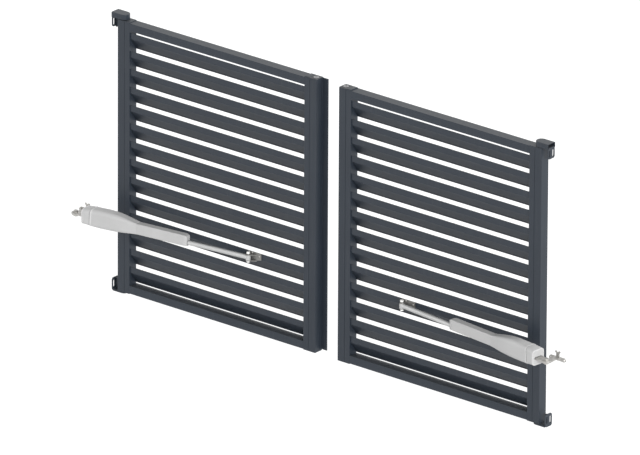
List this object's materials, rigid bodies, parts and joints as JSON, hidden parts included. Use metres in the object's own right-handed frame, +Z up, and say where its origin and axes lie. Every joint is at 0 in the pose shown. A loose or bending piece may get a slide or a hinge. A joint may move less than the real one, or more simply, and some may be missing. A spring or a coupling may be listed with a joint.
{
  "type": "double swing gate",
  "caption": "Double swing gate with two louvred aluminium leaves, wall hinges with covers, a stop strip and two ram openers",
  "frame": {"origin": "centre of the wall face of the left lower hinge plate, where it lies flat on the wall", "axes": "+X along the closed gate from the left wall face to the right one, +Y level and away from the side that the leaves open to, +Z up"},
  "size_m": [3.454, 0.2498, 1.65],
  "materials": {
    "gate_paint": "satin",
    "gate_paint_steel": "satin",
    "plated_steel": "satin",
    "opener_cover": "satin",
    "opener_body": "satin",
    "rod_steel": "satin"
  },
  "bodies": {
    "wall_fixings": {"left_upper_hinge": "gate_paint_steel", "left_upper_hinge_cover": "gate_paint", "left_lower_hinge": "gate_paint_steel", "left_opener_wall_bracket": "plated_steel", "left_opener_pivot_bolt": "plated_steel", "right_upper_hinge": "gate_paint_steel", "right_upper_hinge_cover": "gate_paint", "right_lower_hinge": "gate_paint_steel", "right_opener_wall_bracket": "plated_steel", "right_opener_pivot_bolt": "plated_steel"},
    "left_leaf": {"left_hinge_stile": "gate_paint", "left_meeting_stile": "gate_paint", "left_top_rail": "gate_paint", "left_bottom_rail": "gate_paint", "left_louvre_slats": "gate_paint", "left_hinge_stile_plugs": "gate_paint", "left_meeting_stile_caps": "gate_paint", "left_opener_leaf_bracket": "plated_steel", "left_stop_strip": "gate_paint"},
    "left_ram": {"left_opener_rear_lug": "plated_steel", "left_opener_rear_cap": "opener_cover", "left_opener_motor_housing": "opener_cover", "left_opener_arm": "opener_body", "left_opener_nose": "opener_body"},
    "left_ram_rod": {"left_opener_rod": "rod_steel", "left_opener_rod_eye": "rod_steel", "left_opener_eye_pin": "rod_steel"},
    "right_leaf": {"right_hinge_stile": "gate_paint", "right_meeting_stile": "gate_paint", "right_top_rail": "gate_paint", "right_bottom_rail": "gate_paint", "right_louvre_slats": "gate_paint", "right_hinge_stile_plugs": "gate_paint", "right_meeting_stile_caps": "gate_paint", "right_opener_leaf_bracket": "plated_steel"},
    "right_ram": {"right_opener_rear_lug": "plated_steel", "right_opener_rear_cap": "opener_cover", "right_opener_motor_housing": "opener_cover", "right_opener_arm": "opener_body", "right_opener_nose": "opener_body"},
    "right_ram_rod": {"right_opener_rod": "rod_steel", "right_opener_rod_eye": "rod_steel", "right_opener_eye_pin": "rod_steel"}
  },
  "joints": [
    {"name": "left_leaf_swing", "type": "hinge", "parent": "wall_fixings", "child": "left_leaf", "pos_m": [0.069, 0, 0.776], "axis": [0, 0, -1], "range_deg": [0, 90]},
    {"name": "left_ram_swivel", "type": "hinge", "parent": "wall_fixings", "child": "left_ram", "pos_m": [-0.127, -0.184, 0.423], "axis": [0, 0, -1], "range_deg": [0, 85.7]},
    {"name": "left_rod_slide", "type": "slide", "parent": "left_ram", "child": "left_ram_rod", "axis": [-0.9926, -0.1218, 0], "range_m": [0, 0.375]},
    {"name": "right_leaf_swing", "type": "hinge", "parent": "wall_fixings", "child": "right_leaf", "pos_m": [3.019, 0, 0.776], "axis": [0, 0, 1], "range_deg": [0, 90]},
    {"name": "right_ram_swivel", "type": "hinge", "parent": "wall_fixings", "child": "right_ram", "pos_m": [3.215, -0.184, 0.423], "axis": [0, 0, 1], "range_deg": [0, 85.7]},
    {"name": "right_rod_slide", "type": "slide", "parent": "right_ram", "child": "right_ram_rod", "axis": [0.9926, -0.1218, 0], "range_m": [0, 0.375]}
  ],
  "couplings": [
    {"joint": "left_ram_swivel", "follows": "left_leaf_swing", "ratio": 0.95122},
    {"joint": "left_rod_slide", "follows": "left_leaf_swing", "m_per_rad": 0.23777},
    {"joint": "right_ram_swivel", "follows": "right_leaf_swing", "ratio": 0.95122},
    {"joint": "right_rod_slide", "follows": "right_leaf_swing", "m_per_rad": 0.23777}
  ]
}
